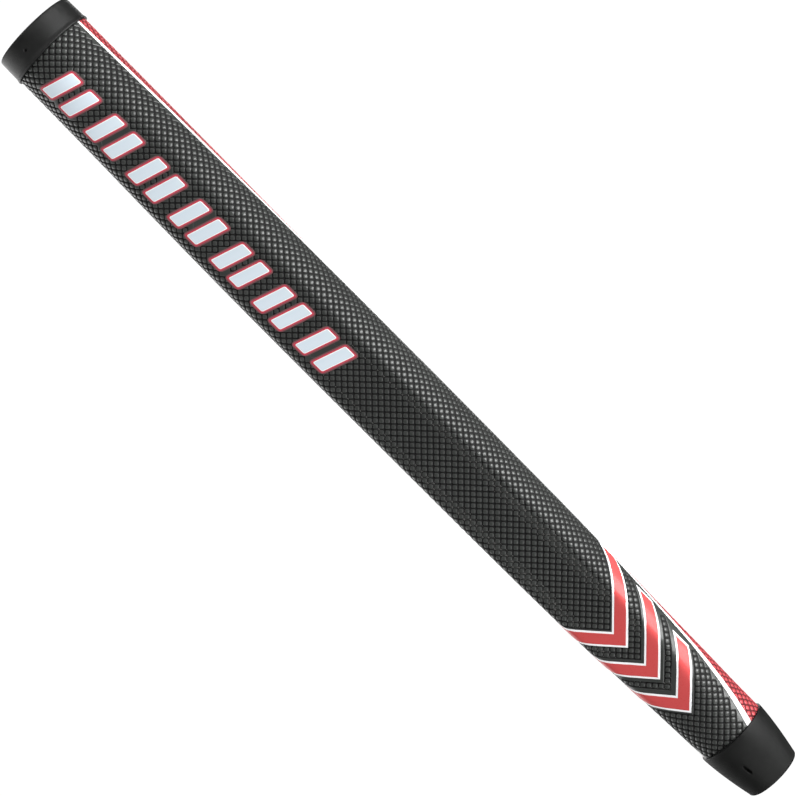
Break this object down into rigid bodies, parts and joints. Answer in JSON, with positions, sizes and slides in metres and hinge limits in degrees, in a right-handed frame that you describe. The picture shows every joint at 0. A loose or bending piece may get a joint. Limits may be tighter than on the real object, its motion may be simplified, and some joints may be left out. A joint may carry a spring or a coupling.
{
  "type": "putter grip",
  "caption": "Slip-on putter grip with a flat front, textured two-tone wrap, pinstripes, rubber butt cap and tapered nose collar.",
  "frame": {"origin": "centre of the shaft bore's mouth, at the nose end of the grip", "axes": "+Z along the bore towards the butt, -Y out of the flat front, +X to the right of a viewer who faces the front with the butt up"},
  "size_m": [0.0237, 0.0236, 0.2667],
  "materials": {
    "sleeve_rubber": "matte moulded rubber",
    "cap_rubber": "matte moulded rubber, finely pitted",
    "collar_rubber": "matte moulded rubber, finely pitted",
    "felt": "non-woven felt",
    "skin_black": "satin black polyurethane with embossed diamond pads",
    "skin_red": "satin red polyurethane with embossed diamond pads",
    "stripe_white": "smooth satin white polyurethane",
    "seam_adhesive": "smooth glued seam",
    "print_white": "gloss paint fill",
    "print_red": "gloss paint fill"
  },
  "bodies": {
    "root": {"core_sleeve": "sleeve_rubber", "butt_cap": "cap_rubber", "nose_collar": "collar_rubber", "felt_backing": "felt", "front_skin": "skin_black", "back_skin": "skin_red", "pinstripe_right": "stripe_white", "pinstripe_left": "stripe_white", "back_seam": "seam_adhesive", "emblem_edging": "print_red", "emblem_bars": "print_white", "band_borders": "print_white", "bands": "print_red"}
  },
  "joints": []
}
